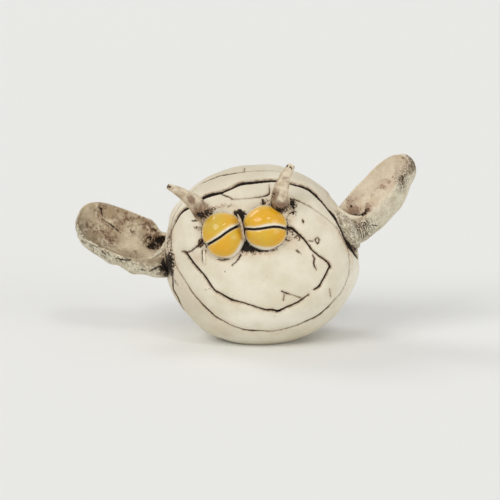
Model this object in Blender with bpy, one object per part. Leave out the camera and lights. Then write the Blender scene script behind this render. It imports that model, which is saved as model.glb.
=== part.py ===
"""Earthenware animal figurine, fired in one piece.

A rounded drum stands on a small flat foot with its face towards -Y. It carries two scoop ears, two horns and
two bulging eyes split like coffee beans. Stained seams run where the slabs of clay meet.
The origin is on the foot, below the body's centre.
"""

import math

import bmesh
import bpy
from mathutils import Vector

MM = 0.001

# Body
BODY_WIDTH = 97.6 * MM
BODY_HEIGHT = 89.8 * MM
BODY_DEPTH = 70.0 * MM
BODY_LEAN = math.radians(11.0)
BODY_FULLNESS = 2.4
FOOT_CUT = 2.6 * MM

# Ears
LEFT_EAR_WIDTH = 33.4 * MM
LEFT_EAR_DEPTH = 14.4 * MM
LEFT_EAR_ROLL = math.radians(45.0)
RIGHT_EAR_WIDTH = 32.0 * MM
RIGHT_EAR_DEPTH = 15.5 * MM
RIGHT_EAR_ROLL = math.radians(62.0)
EAR_RIM_THICKNESS = 1.8 * MM
EAR_FLOOR_THICKNESS = 6.0 * MM
EAR_HOLLOW_SET = 11.0 * MM
EAR_RIM_RISE = 0.8 * MM
EAR_ROOT_LENGTH = 8.0 * MM
EAR_FULLNESS = 2.6
EAR_HOLE_LENGTH = 11.0 * MM
EAR_HOLE_WIDTH = 8.0 * MM
EAR_HOLE_DEPTH = 5.0 * MM
EAR_HOLE_SHARE = 0.6

# Eyes
LEFT_EYE_WIDTH = 20.4 * MM
LEFT_EYE_HEIGHT = 22.4 * MM
RIGHT_EYE_WIDTH = 21.8 * MM
RIGHT_EYE_HEIGHT = 21.4 * MM
EYE_THICKNESS = 19.0 * MM
EYE_SINK = 2.0 * MM
EYE_SLIT_WIDTH = 1.5 * MM

# Horns: radii from the base to the tip
LEFT_HORN_RADII = (4.6 * MM, 3.7 * MM, 2.7 * MM, 1.5 * MM)
RIGHT_HORN_RADII = (4.6 * MM, 4.0 * MM, 3.1 * MM, 2.1 * MM)
LEFT_HORN_FORWARD = (-2.0 * MM, 2.0 * MM, 4.0 * MM, 6.0 * MM)
RIGHT_HORN_FORWARD = (-2.0 * MM, 2.5 * MM, 2.0 * MM, -2.0 * MM)
HORN_PIT_DEPTH = 3.0 * MM
HORN_PIT_SHARE = 0.6
HORN_COLLAR_WIDTH = 13.0 * MM
HORN_COLLAR_HEIGHT = 7.0 * MM
HORN_COLLAR_THICKNESS = 6.0 * MM
PELLET_DIAMETER = 5.0 * MM

# Seams: widths at the skin
DISC_SEAM_WIDTH = 2.2 * MM
TOP_SEAM_WIDTH = 1.4 * MM
MOUTH_SEAM_WIDTH = 1.3 * MM
CHIN_SEAM_WIDTH = 1.0 * MM
BROW_SEAM_WIDTH = 1.0 * MM
PAD_SEAM_WIDTH = 1.3 * MM
BACK_SEAM_WIDTH = 1.6 * MM
BACK_SEAM_SET = 15.0 * MM

# The sight: where a viewer's eye stands, seen from the body's centre
SIGHT_DISTANCE = 900.0 * MM
SIGHT_RISE = math.radians(12.0)

# The drawing: points are pixels seen from that eye, x to the right and y down
DRAWN_CENTRE = (260.0, 255.0)
DRAWN_HALF_WIDTH = 97.6
DRAWN_HALF_HEIGHT = 90.0

LEFT_EAR_ROOT = (172, 254)
LEFT_EAR_TIP = (77, 215)
LEFT_EAR_HOLE = (155, 242)
RIGHT_EAR_ROOT = (341, 225)
RIGHT_EAR_TIP = (408, 156)
RIGHT_EAR_HOLE = (356, 208)
LEFT_EYE_CENTRE = (223.5, 235)
LEFT_EYE_SLIT = [(201, 248), (208, 244), (220, 236), (229, 230.5), (240, 224.5)]
RIGHT_EYE_CENTRE = (265.5, 228)
RIGHT_EYE_SLIT = [(241, 228.5), (250, 229), (259, 228), (270, 226.5), (280, 227), (290, 230)]
LEFT_HORN_LINE = [(204, 216), (194, 203), (183, 194), (168, 186.5)]
RIGHT_HORN_LINE = [(279.5, 210), (280, 195), (284, 181), (291.5, 166)]
PELLET_CENTRE = (197, 226)

DISC_SEAM = [
    (171, 247), (172, 234), (178, 219), (190, 207), (203, 198), (220, 192.5), (240, 184), (260, 181.5),
    (282, 182), (303, 187), (318, 197), (330, 208), (338, 222), (346, 240), (355, 254), (359, 264),
]
LOW_DISC_SEAM = [(170, 277), (173, 289), (180, 303), (187, 312)]
TOP_SEAM = [(200, 184), (215, 177.5), (240, 173), (258, 171), (274, 170.5)]
MOUTH_SEAM = [
    (286, 226), (295, 230), (305, 240), (317, 254), (330, 265), (326, 275), (319, 287), (303, 299.5),
    (285, 309), (265, 310.5), (247, 304.5), (231, 300), (214, 290), (205, 277), (195, 265), (186, 252.5),
]
CHIN_SEAM = [
    (174, 262), (181, 274), (192, 292), (205, 308), (220, 319), (240, 328), (262, 331.5), (280, 331),
    (305, 322), (325, 310), (337, 295), (347, 279), (349, 262), (346, 250),
]
BROW_SEAM = [(220, 194), (232, 199), (255, 198), (269, 195.5), (290, 198), (307, 206), (328, 223)]
PAD_SEAM = [(202, 238), (196, 247), MOUTH_SEAM[-1]]

# Colours
CLAY_COLOUR = (0.72, 0.66, 0.53, 1.0)
GLAZE_COLOUR = (0.73, 0.41, 0.03, 1.0)
CLAY_ROUGHNESS = 0.8
GLAZE_ROUGHNESS = 0.15

# Fineness of the meshes
BODY_SEGMENTS = 48
BODY_RINGS = 24
EAR_SEGMENTS = 28
EAR_RINGS = 18
EYE_SEGMENTS = 28
EYE_RINGS = 14
SMALL_SEGMENTS = 14
SMALL_RINGS = 8
HORN_STEPS = 3
HORN_BEVEL_RESOLUTION = 2
BACK_SEAM_POINTS = 36
BACK_SEAM_BREAK = math.radians(20.0)
SLIT_STEPS = 4
SEAM_STEPS = 2
SEARCH_STEPS = 60
WELD_DISTANCE = 0.00001

HALF_WIDTH = BODY_WIDTH / 2
HALF_HEIGHT = BODY_HEIGHT / 2
HALF_DEPTH = BODY_DEPTH / 2
LOWEST = math.hypot(HALF_HEIGHT * math.cos(BODY_LEAN), HALF_WIDTH * math.sin(BODY_LEAN))
CENTRE = Vector((0.0, 0.0, LOWEST - FOOT_CUT))

TOWARDS_EYE = Vector((0.0, -math.cos(SIGHT_RISE), math.sin(SIGHT_RISE)))
SIGHT_RIGHT = Vector((1.0, 0.0, 0.0))
SIGHT_UP = Vector((0.0, math.sin(SIGHT_RISE), math.cos(SIGHT_RISE)))
EYE_POINT = CENTRE + SIGHT_DISTANCE * TOWARDS_EYE


# Points on the sight lines
def drawn_point(pixel):
    """The pixel's point in the upright plane of the drawing, through the body's centre."""
    across = (pixel[0] - DRAWN_CENTRE[0]) / DRAWN_HALF_WIDTH * HALF_WIDTH
    above = (DRAWN_CENTRE[1] - pixel[1]) / DRAWN_HALF_HEIGHT * HALF_HEIGHT
    return CENTRE + across * SIGHT_RIGHT + above * SIGHT_UP


def at_depth(pixel, depth):
    """The point on the pixel's sight line that lies at y = depth."""
    target = drawn_point(pixel)
    share = (depth - EYE_POINT.y) / (target.y - EYE_POINT.y)
    return EYE_POINT.lerp(target, share)


def closer(pixels, steps):
    """The same line of pixels with its stretches split into equal steps."""
    points = [Vector(pixel) for pixel in pixels]
    starts = [a.lerp(b, k / steps) for a, b in zip(points, points[1:]) for k in range(steps)]
    return starts + points[-1:]


def skin_level(point):
    """1 on the body's skin, less inside it and more outside."""
    x, y, z = point - CENTRE
    along = (x * math.cos(BODY_LEAN) - z * math.sin(BODY_LEAN)) / HALF_WIDTH
    upward = (x * math.sin(BODY_LEAN) + z * math.cos(BODY_LEAN)) / HALF_HEIGHT
    return math.hypot(along, upward) ** BODY_FULLNESS + abs(y / HALF_DEPTH) ** BODY_FULLNESS


def skin_normal(point):
    """The outward direction of the skin at a point on it."""
    step = 0.1 * MM
    axes = (Vector((step, 0, 0)), Vector((0, step, 0)), Vector((0, 0, step)))
    return Vector([skin_level(point + axis) - skin_level(point - axis) for axis in axes]).normalized()


def on_skin(pixel):
    """The point of the body's skin that the pixel's sight line meets first."""
    depths = [HALF_DEPTH * (2 * k / SEARCH_STEPS - 1) for k in range(SEARCH_STEPS + 1)]
    deepest = min(depths, key=lambda depth: skin_level(at_depth(pixel, depth)))
    inside, outside = deepest, -1.5 * HALF_DEPTH
    if skin_level(at_depth(pixel, inside)) > 1.0:
        grazing = at_depth(pixel, inside) - CENTRE
        return CENTRE + grazing * skin_level(CENTRE + grazing) ** (-1 / BODY_FULLNESS)
    for _ in range(SEARCH_STEPS):
        middle = (inside + outside) / 2
        if skin_level(at_depth(pixel, middle)) > 1.0:
            outside = middle
        else:
            inside = middle
    return at_depth(pixel, inside)


# Mesh makers
def new_object(name, mesh, collection):
    item = bpy.data.objects.new(name, mesh)
    collection.objects.link(item)
    if collection is cutters:
        item.hide_render = True
        item.display_type = "WIRE"
    return item


def shaped_sphere(name, collection, segments, rings, shape):
    """A closed ball whose points are moved by shape, a function of the unit direction."""
    ball = bmesh.new()
    bmesh.ops.create_uvsphere(ball, u_segments=segments, v_segments=rings, radius=1.0)
    for vert in ball.verts:
        vert.co = shape(vert.co.copy())
    bmesh.ops.recalc_face_normals(ball, faces=ball.faces)
    mesh = bpy.data.meshes.new(name)
    ball.to_mesh(mesh)
    ball.free()
    mesh.shade_smooth()
    return new_object(name, mesh, collection)


def rounded(direction, fullness):
    """Moves a point of the unit ball out to a fuller, squarer roundness about its Z axis."""
    x, y, z = direction
    level = math.hypot(x, y) ** fullness + abs(z) ** fullness
    return direction * level ** (-1 / fullness)


def egg(name, centre, axes, halves, fullness=2.0, segments=SMALL_SEGMENTS, rings=SMALL_RINGS):
    """A rounded form with half sizes along three directions, its poles on the third."""

    def shape(direction):
        full = rounded(direction, fullness)
        return centre + sum((full[k] * halves[k] * axes[k] for k in range(3)), Vector())

    return shaped_sphere(name, cutters, segments, rings, shape)


def tube(name, points, radii, steps=0, bevel_resolution=0):
    """A round bar through the points as a closed mesh; with steps its line is smooth."""
    curve = bpy.data.curves.new(name, "CURVE")
    curve.dimensions = "3D"
    curve.bevel_depth = 1.0
    curve.bevel_resolution = bevel_resolution
    curve.use_fill_caps = True
    curve.resolution_u = max(steps, 1)
    spline = curve.splines.new("BEZIER" if steps else "POLY")
    spots = spline.bezier_points if steps else spline.points
    spots.add(len(points) - 1)
    for spot, point, radius in zip(spots, points, radii):
        spot.co = point if steps else (*point, 1.0)
        spot.radius = radius
        if steps:
            spot.handle_left_type = spot.handle_right_type = "AUTO"
    line = bpy.data.objects.new(name + "_line", curve)
    scene.collection.objects.link(line)
    bpy.context.view_layer.update()
    graph = bpy.context.evaluated_depsgraph_get()
    mesh = bpy.data.meshes.new_from_object(line.evaluated_get(graph))
    bar = bmesh.new()
    bar.from_mesh(mesh)
    bmesh.ops.remove_doubles(bar, verts=bar.verts, dist=WELD_DISTANCE)
    bmesh.ops.recalc_face_normals(bar, faces=bar.faces)
    bar.to_mesh(mesh)
    bar.free()
    bar_object = new_object(name, mesh, cutters)
    bar_object.matrix_world = line.matrix_world
    bpy.data.objects.remove(line)
    return bar_object


def combine(target, tool, operation):
    modifier = target.modifiers.new(f"{operation.lower()} {tool.name}", "BOOLEAN")
    modifier.operation = operation
    modifier.solver = "EXACT"
    modifier.object = tool


# Forms of the figurine
def leaning(along, depth, upward):
    """The point at these distances along the body's own axes, which lean to the right."""
    return CENTRE + Vector((
        along * math.cos(BODY_LEAN) + upward * math.sin(BODY_LEAN),
        depth,
        upward * math.cos(BODY_LEAN) - along * math.sin(BODY_LEAN),
    ))


def body_shape(direction):
    """The point of the drum's skin for a direction of the unit ball, whose pole is the face."""
    x, y, z = rounded(direction, BODY_FULLNESS)
    return leaning(x * HALF_WIDTH, -z * HALF_DEPTH, y * HALF_HEIGHT)


def cut_flat(item, point, outward):
    """Cuts a closed form off at a plane and closes it there with a flat face."""
    form = bmesh.new()
    form.from_mesh(item.data)
    everything = form.verts[:] + form.edges[:] + form.faces[:]
    cut = bmesh.ops.bisect_plane(
        form, geom=everything, plane_co=point, plane_no=outward, clear_outer=True
    )
    rim = [part for part in cut["geom_cut"] if isinstance(part, bmesh.types.BMEdge)]
    bmesh.ops.contextual_create(form, geom=rim)
    bmesh.ops.recalc_face_normals(form, faces=form.faces)
    form.to_mesh(item.data)
    form.free()


def make_body():
    drum = shaped_sphere("figurine", figurine_collection, BODY_SEGMENTS, BODY_RINGS, body_shape)
    cut_flat(drum, Vector((0, 0, 0)), Vector((0, 0, -1)))
    return drum


def make_ear(name, root_pixel, tip_pixel, hole_pixel, width, depth, roll):
    """A scoop from its root inside the body to its tip; roll turns its hollow up from the eye."""
    root = at_depth(root_pixel, 0.0)
    tip = at_depth(tip_pixel, 0.0)
    along = (tip - root).normalized()
    above = along.cross(TOWARDS_EYE).normalized()
    if above.z < 0:
        above = -above
    opening = math.cos(roll) * TOWARDS_EYE + math.sin(roll) * above
    across = opening.cross(along)
    root = root - EAR_ROOT_LENGTH * along
    half_length = (tip - root).length / 2
    middle = (tip + root) / 2
    axes = (across, opening, along)
    outer = (width / 2, depth, half_length)
    inner_half_length = half_length - (EAR_HOLLOW_SET + EAR_RIM_THICKNESS) / 2
    inner = (width / 2 - EAR_RIM_THICKNESS, depth - EAR_FLOOR_THICKNESS, inner_half_length)
    inner_middle = tip - (EAR_RIM_THICKNESS + inner_half_length) * along
    scoop = egg(name, middle, axes, outer, EAR_FULLNESS, EAR_SEGMENTS, EAR_RINGS)
    hollow = egg(name + "_hollow", inner_middle, axes, inner, EAR_FULLNESS, EAR_SEGMENTS, EAR_RINGS)
    hole_halves = (EAR_HOLE_WIDTH / 2, EAR_HOLE_DEPTH / 2, EAR_HOLE_LENGTH / 2)
    hole_centre = at_depth(hole_pixel, 0.0)
    hole_centre = hole_centre - (hole_centre - middle).dot(opening) * opening
    hole_centre = hole_centre - EAR_HOLE_SHARE * inner[1] * opening
    hole = egg(name + "_hole", hole_centre, axes, hole_halves)
    cut_flat(scoop, middle + EAR_RIM_RISE * opening, opening)
    combine(scoop, hollow, "DIFFERENCE")
    combine(scoop, hole, "DIFFERENCE")
    return scoop


def make_eye(name, centre_pixel, slit_pixels, width, height):
    """A bulging eye on the face, cut across by its slit."""
    seat = on_skin(centre_pixel)
    sight = (seat - EYE_POINT).normalized()
    centre = seat + EYE_SINK * sight
    first = drawn_point(slit_pixels[0])
    last = drawn_point(slit_pixels[-1])
    facing = (skin_normal(seat) + TOWARDS_EYE).normalized()
    along = (last - first).normalized()
    along = (along - along.dot(facing) * facing).normalized()
    upward = facing.cross(along)
    axes = (along, upward, facing)
    halves = (width / 2, height / 2, EYE_THICKNESS / 2)
    ball = egg(name, centre, axes, halves, 2.0, EYE_SEGMENTS, EYE_RINGS)

    def on_ball(pixel):
        """The eye's skin on a pixel's sight line, or its rim where the line passes beside it."""
        start = EYE_POINT - centre
        aim = (drawn_point(pixel) - EYE_POINT).normalized()
        flat_start = Vector([start.dot(axes[k]) / halves[k] for k in range(3)])
        flat_aim = Vector([aim.dot(axes[k]) / halves[k] for k in range(3)])
        nearest = -flat_start.dot(flat_aim) / flat_aim.length_squared
        closest = (flat_start + nearest * flat_aim).length
        back = math.sqrt(max(1 - closest**2, 0.0)) / flat_aim.length
        return EYE_POINT + (nearest - back) * aim

    points = [on_ball(pixel) for pixel in closer(slit_pixels, SLIT_STEPS)]
    combine(ball, tube(name + "_slit", points, [EYE_SLIT_WIDTH / 2] * len(points)), "DIFFERENCE")
    ball.data.materials.append(eye_glaze)
    return ball


def make_horn(name, line, radii, forward):
    """A tapering horn from the brow; each point lies forward of the skin at the horn's base."""
    base_depth = on_skin(line[0]).y
    points = [at_depth(pixel, base_depth - step) for pixel, step in zip(line, forward)]
    horn = tube(name, points, radii, HORN_STEPS, HORN_BEVEL_RESOLUTION)
    reach = (points[-1] - points[-2]).normalized()
    side = reach.cross(TOWARDS_EYE).normalized()
    pit_radius = radii[-1] * HORN_PIT_SHARE
    pit_centre = points[-1] + radii[-1] / 4 * reach
    pit_axes = (side, reach.cross(side), reach)
    pit = egg(name + "_pit", pit_centre, pit_axes, (pit_radius, pit_radius, HORN_PIT_DEPTH))
    combine(horn, pit, "DIFFERENCE")
    return horn


def make_collar(name, pixel):
    """The low roll of clay pressed round a horn's base."""
    seat = on_skin(pixel)
    outward = skin_normal(seat)
    sideways = outward.cross(SIGHT_UP).normalized()
    halves = (HORN_COLLAR_WIDTH / 2, HORN_COLLAR_HEIGHT / 2, HORN_COLLAR_THICKNESS / 2)
    return egg(name, seat, (sideways, outward.cross(sideways), outward), halves)


def make_seam(name, pixels, width):
    points = [on_skin(pixel) for pixel in closer(pixels, SEAM_STEPS)]
    return tube(name, points, [width / 2] * len(points))


def make_back_seam():
    """The seam round the back slab, behind the ears, broken off beside the right ear's root."""
    share = (1 - (BACK_SEAM_SET / HALF_DEPTH) ** BODY_FULLNESS) ** (1 / BODY_FULLNESS)
    points = []
    for k in range(BACK_SEAM_POINTS):
        turn = BACK_SEAM_BREAK + (2 * math.pi - 2 * BACK_SEAM_BREAK) * k / (BACK_SEAM_POINTS - 1)
        along = share * HALF_WIDTH * math.cos(turn)
        upward = share * HALF_HEIGHT * math.sin(turn)
        points.append(leaning(along, BACK_SEAM_SET, upward))
    return tube("back_seam", points, [BACK_SEAM_WIDTH / 2] * len(points))


def clay(name, colour, roughness):
    material = bpy.data.materials.new(name)
    material.use_nodes = True
    shader = material.node_tree.nodes["Principled BSDF"]
    shader.inputs["Base Color"].default_value = colour
    shader.inputs["Roughness"].default_value = roughness
    shader.inputs["Metallic"].default_value = 0.0
    return material


for old in list(bpy.data.objects):
    bpy.data.objects.remove(old, do_unlink=True)

scene = bpy.context.scene
figurine_collection = bpy.data.collections.new("animal_figurine")
cutters = bpy.data.collections.new("cutters")
scene.collection.children.link(figurine_collection)
scene.collection.children.link(cutters)

fired_clay = clay("fired_clay", CLAY_COLOUR, CLAY_ROUGHNESS)
eye_glaze = clay("eye_glaze", GLAZE_COLOUR, GLAZE_ROUGHNESS)

figurine = make_body()
figurine.data.materials.append(fired_clay)

ears = [
    make_ear(
        "left_ear", LEFT_EAR_ROOT, LEFT_EAR_TIP, LEFT_EAR_HOLE,
        LEFT_EAR_WIDTH, LEFT_EAR_DEPTH, LEFT_EAR_ROLL,
    ),
    make_ear(
        "right_ear", RIGHT_EAR_ROOT, RIGHT_EAR_TIP, RIGHT_EAR_HOLE,
        RIGHT_EAR_WIDTH, RIGHT_EAR_DEPTH, RIGHT_EAR_ROLL,
    ),
]
seams = [
    make_seam("disc_seam", DISC_SEAM, DISC_SEAM_WIDTH),
    make_seam("low_disc_seam", LOW_DISC_SEAM, DISC_SEAM_WIDTH),
    make_seam("top_seam", TOP_SEAM, TOP_SEAM_WIDTH),
    make_seam("mouth_seam", MOUTH_SEAM, MOUTH_SEAM_WIDTH),
    make_seam("chin_seam", CHIN_SEAM, CHIN_SEAM_WIDTH),
    make_seam("brow_seam", BROW_SEAM, BROW_SEAM_WIDTH),
    make_seam("pad_seam", PAD_SEAM, PAD_SEAM_WIDTH),
    make_back_seam(),
]
pellet_halves = (PELLET_DIAMETER / 2,) * 3
pellet_axes = (SIGHT_RIGHT, SIGHT_UP, TOWARDS_EYE)
face_forms = [
    make_horn("left_horn", LEFT_HORN_LINE, LEFT_HORN_RADII, LEFT_HORN_FORWARD),
    make_horn("right_horn", RIGHT_HORN_LINE, RIGHT_HORN_RADII, RIGHT_HORN_FORWARD),
    make_collar("left_collar", LEFT_HORN_LINE[0]),
    make_collar("right_collar", RIGHT_HORN_LINE[0]),
    egg("pellet", on_skin(PELLET_CENTRE), pellet_axes, pellet_halves),
    make_eye("left_eye", LEFT_EYE_CENTRE, LEFT_EYE_SLIT, LEFT_EYE_WIDTH, LEFT_EYE_HEIGHT),
    make_eye("right_eye", RIGHT_EYE_CENTRE, RIGHT_EYE_SLIT, RIGHT_EYE_WIDTH, RIGHT_EYE_HEIGHT),
]
for form in ears:
    combine(figurine, form, "UNION")
for form in seams:
    combine(figurine, form, "DIFFERENCE")
for form in face_forms:
    combine(figurine, form, "UNION")
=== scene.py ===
"""Looks of the earthenware animal figurine: its clay skin, ears, horns, glazed eyes and the studio round it.

Lengths are in millimetres until a mesh is made. Pixels are places in the 500 x 500 drawing, x to the right
and y down, and the camera stands where they were drawn from.
"""
from math import atan, cos, hypot, pi, radians, sin

import bpy
import numpy as np
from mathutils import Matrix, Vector


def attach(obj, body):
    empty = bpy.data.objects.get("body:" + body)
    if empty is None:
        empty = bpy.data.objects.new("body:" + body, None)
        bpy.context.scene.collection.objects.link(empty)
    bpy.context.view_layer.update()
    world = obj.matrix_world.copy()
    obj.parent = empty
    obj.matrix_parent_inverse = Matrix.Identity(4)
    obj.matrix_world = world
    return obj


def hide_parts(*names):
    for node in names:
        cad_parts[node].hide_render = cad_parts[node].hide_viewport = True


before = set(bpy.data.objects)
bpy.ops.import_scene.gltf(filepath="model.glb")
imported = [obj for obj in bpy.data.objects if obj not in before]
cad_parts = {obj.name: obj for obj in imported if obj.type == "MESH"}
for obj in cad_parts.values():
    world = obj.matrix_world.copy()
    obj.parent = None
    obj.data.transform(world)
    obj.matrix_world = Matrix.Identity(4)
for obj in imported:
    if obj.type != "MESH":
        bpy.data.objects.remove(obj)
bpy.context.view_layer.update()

MM = 0.001

# The body and the sight, as in the solid model
HALF_WIDTH = 48.8
HALF_HEIGHT = 44.9
HALF_DEPTH = 35.0
LEAN = radians(11.0)
FULLNESS = 2.4
FOOT_CUT = 2.6
LOWEST = hypot(HALF_HEIGHT * cos(LEAN), HALF_WIDTH * sin(LEAN))
CENTRE = np.array([0.0, 0.0, LOWEST - FOOT_CUT])
SIGHT_DISTANCE = 900.0
SIGHT_TRIES, HALVINGS = 61, 40
RISE = radians(12.0)
TOWARDS_EYE = np.array([0.0, -cos(RISE), sin(RISE)])
SIGHT_RIGHT = np.array([1.0, 0.0, 0.0])
SIGHT_UP = np.array([0.0, sin(RISE), cos(RISE)])
EYE_POINT = CENTRE + SIGHT_DISTANCE * TOWARDS_EYE
DRAWN_CENTRE = np.array([260.0, 255.0])
DRAWN_SCALE = np.array([HALF_WIDTH / 97.6, -HALF_HEIGHT / 90.0])
PICTURE = 500
PIXEL = 0.5

# Fineness of the meshes: squares along the three sides of the box that each ball is made from
BODY_SQUARES = (144, 100, 144)
EAR_SQUARES = (110, 40, 240)
EYE_SQUARES = (96, 96, 60)
SMALL_SQUARES = (30, 30, 30)

# Seams: rows of x, y, and width in pixels and darkness, both in tenths; 10 where no darkness is given
THINNEST = 0.3
STROKE_END = 0.6
POINTS_AT_ONCE = 4000
DISC_SEAM = [
    (171, 247, 9, 8), (171.5, 234, 10, 9), (174.5, 226, 11, 9), (182, 213, 15), (190, 207, 19),
    (203, 198, 24), (210, 195, 27), (220, 192.5, 20), (228, 189.5, 16), (240, 184, 22), (250, 182.5, 24),
    (260, 181.5, 20), (273, 180.5, 17), (282, 181.5, 14), (295, 184.5, 14), (303, 187, 18), (310, 190.5, 18),
    (318, 197, 18), (326, 204, 20), (334, 215, 26), (338, 222, 16), (342, 230, 13), (346, 239, 16),
    (350, 246, 22), (354, 252, 16), (358, 259, 11, 9), (359, 264, 12, 7),
]
MOUTH_SEAM = [
    (182, 251.5, 10, 8), (186, 252.5, 14), (190, 258, 18), (195, 265, 15), (205, 277, 15), (214, 290, 15),
    (220, 293.5, 13), (231, 300, 19), (240, 302.5, 12, 9), (254, 307, 12, 9), (265, 310.5, 14),
    (272, 310.5, 16), (278, 312, 22), (285, 309, 14), (297, 303.5, 13), (303, 299.5, 12), (309, 295, 10, 9),
]
CHEEK_SEAM = [
    (314, 290, 10, 9), (319, 287, 16), (322, 282, 14), (326, 275, 14), (329, 269, 16), (330.5, 266.5, 20),
    (327, 261.5, 13), (317, 254, 13), (311, 248, 14), (305, 240, 16), (300, 235, 18), (295, 230.5, 22),
    (291, 227.5, 22), (284, 226, 20),
]
TOP_SEAM = [
    (169.5, 241, 5, 5), (173, 222, 6, 6), (180, 208, 5, 5), (189, 194, 6, 6), (200, 184, 9, 8),
    (206, 181, 11, 9), (215, 177.5, 14), (220, 175.5, 12, 9), (227, 174.5, 14), (235, 173.5, 11),
    (241, 172.5, 6, 7), (250, 171.5, 3.5, 5), (258, 171, 5, 6), (272, 170.5, 4, 5), (281, 171.5, 3, 4),
]
CHIN_SEAM = [
    (174, 255, 4, 5), (176, 266, 5, 5), (185, 281, 6, 6), (193, 294, 7, 7), (200, 302, 8, 8),
    (206, 308.5, 11), (212, 314, 11), (217, 318, 8, 9), (233, 326, 6, 7), (245, 330, 8, 9), (254, 331, 10),
    (262, 331.5, 6, 8), (276, 332, 5, 6), (295, 327.5, 6, 7), (305, 323, 7, 8), (316, 317.5, 9),
    (328, 308, 9, 9), (335, 300, 5, 5), (341.5, 292.5, 5, 4), (348, 278, 5, 4.5), (350, 265, 5, 4),
    (349.5, 256, 6, 4),
]
LOW_DISC_SEAM = [
    (170.5, 276, 19), (171.8, 288, 18), (177.4, 297, 18), (181, 305, 14), (184.5, 311, 8, 9),
]
BROW_SEAM = [
    (232, 199, 4, 5), (245, 198.5, 4.5, 5.5), (255, 197.5, 6, 7), (263, 196.5, 10, 9), (267.5, 195, 13),
    (269.5, 192, 10, 9), (269, 184.5, 5, 6),
]
CHEEK_EDGE = [
    (290, 199, 12, 9), (296, 200, 10, 8), (302, 202.5, 8, 6), (311, 207, 5, 4.5), (321, 214, 5, 3.5),
    (330, 221, 4, 3.5), (337, 228.5, 4, 3.5),
]
PAD_SEAM = [
    (203.5, 236, 14), (201.5, 242, 18), (197, 247, 14, 9), (190.5, 251.5, 11, 9), (184, 252, 10, 9),
]
DISC_EDGE = [
    (337, 226, 5, 4), (341, 234, 7, 5), (345, 242, 7, 5), (348.5, 249, 6, 4.5), (349.5, 256, 5, 4),
]
CRACKS = [
    [(221, 193.6, 8), (225.2, 196, 9), (229, 197, 8, 9), (232.2, 199, 6, 9)],
    [(262.8, 199, 14), (263.2, 203, 18), (264.6, 206.5, 20)],
    [(244.8, 168.3, 6, 7), (244, 172.5, 6, 7)],
    [(202.9, 250, 6, 8), (202.5, 257, 7, 8), (203.2, 263, 5, 6)],
    [(240.9, 254.6, 11), (238.4, 259, 10), (235.6, 262.4, 8), (232, 265.2, 6, 9)],
    [(281.5, 291.5, 10), (286.5, 293.5, 10), (292, 295, 6, 8), (301, 298.5, 6, 8)],
    [(284.5, 293, 5, 6), (283.5, 300.5, 6, 8)],
    [(313, 255, 8, 9), (314.5, 259, 10), (314, 262.5, 12), (314.5, 266, 12), (316.5, 270, 5, 7)],
    [(302.8, 219.5, 12, 9), (303.5, 222.5, 14)],
    [(309.5, 240.8, 12, 9), (312.8, 241.4, 9, 8)],
    [(316.5, 238, 9, 9), (315.5, 240.5, 9), (318, 243.5, 9), (319.3, 240, 8, 8), (317.5, 237.5, 8, 8)],
    [(294.6, 238, 8, 9), (297, 235.8, 8, 9), (299.8, 237.5, 9, 9), (299, 240.4, 8, 8)],
    [(296.5, 250.5, 10, 9), (299.5, 252.8, 9, 9)],
    [(286, 239.5, 9, 8), (289.5, 240.6, 9, 8)],
    [(329.5, 289, 7, 5), (331, 297, 6, 5)],
    [(272.5, 209.5, 12), (278, 211.5, 22), (284, 213, 20), (288.5, 213.5, 14)],
    [(217.5, 259.6, 8, 8), (222, 260.4, 9, 9), (228.5, 259.2, 8, 8)],
]

# Each group of seams: depth of the groove, sink of its shoulders and their reach, and the seams
GROOVES = {
    "seams_a": (1.3, 0.35, 1.8, [DISC_SEAM, MOUTH_SEAM, CHEEK_SEAM]),
    "seams_b": (0.7, 0.2, 1.5, [TOP_SEAM, CHIN_SEAM, BROW_SEAM, CHEEK_EDGE, PAD_SEAM, DISC_EDGE]),
    "seams_c": (0.7, 0.15, 1.0, [LOW_DISC_SEAM] + CRACKS),
}

# Spots in pixels: x, y, half width, half height, strength in tenths or 10, and tilt in degrees or none
CHEEK_PAD = [(189, 231, 16, 23, 14, 8)]
HORN_SEATS = [(204, 214, 9, 8), (281, 209, 12, 7)]
BODY_STAINS = [
    (239.5, 214, 5, 3.6, 20), (243, 224, 2.4, 12, 20, -8), (246, 240, 2.6, 8, 20, -12),
    (248, 248.2, 7, 3, 20, 10), (258, 250.4, 9, 1.6, 12, 6), (269, 250.2, 8, 1.6, 8, -6),
    (253, 251.5, 16, 4, 5), (205, 214, 8, 8, 9.5, 25), (205, 217, 4, 5, 17, 25), (203, 221.5, 3, 2.4, 14),
    (198, 221.6, 5, 1, 12, -4), (211, 209.5, 6, 3, 7.5, -20), (226, 206, 14, 2.4, 4, -6),
    (201.4, 243.5, 2.4, 4.2, 12.5, 20), (206.5, 251.5, 1.6, 3.6, 6), (289.5, 230, 5, 2.2, 9.5, 40),
    (293.5, 235, 5, 2.4, 6, 45), (288.5, 238.5, 4, 3, 4.2), (299, 252, 4, 2.5, 4, 40),
    (286.5, 219, 2.4, 5.5, 4.5), (291, 204.5, 5, 7, 10, -10), (292, 204, 2.4, 5, 17, -10),
    (290, 212, 5, 2.4, 12), (266, 204, 5, 5, 8.5), (280, 211, 13, 2.8, 12, 8), (171, 264, 3.4, 13, 11.5, -4),
    (166.5, 264, 3.4, 12, 13, -4), (168, 240, 2.4, 14, 6, 3), (174, 281, 2, 6, 6, -30),
    (351.5, 247, 3, 6, 11, -25), (341, 219, 1.6, 8, 5, -25), (222, 259.5, 9, 1.2, 4.5, -2),
    (225.4, 271.1, 1.1, 0.9, 7), (205, 290, 1.8, 1.5, 5), (209, 289, 1.2, 0.9, 4.5),
    (275, 316, 1.5, 1.2, 4.2), (233, 299.5, 6, 1.2, 5, 20), (217, 318.5, 4, 1.2, 5, 35),
    (191, 195, 4, 1.5, 3, -45),
]
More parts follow.
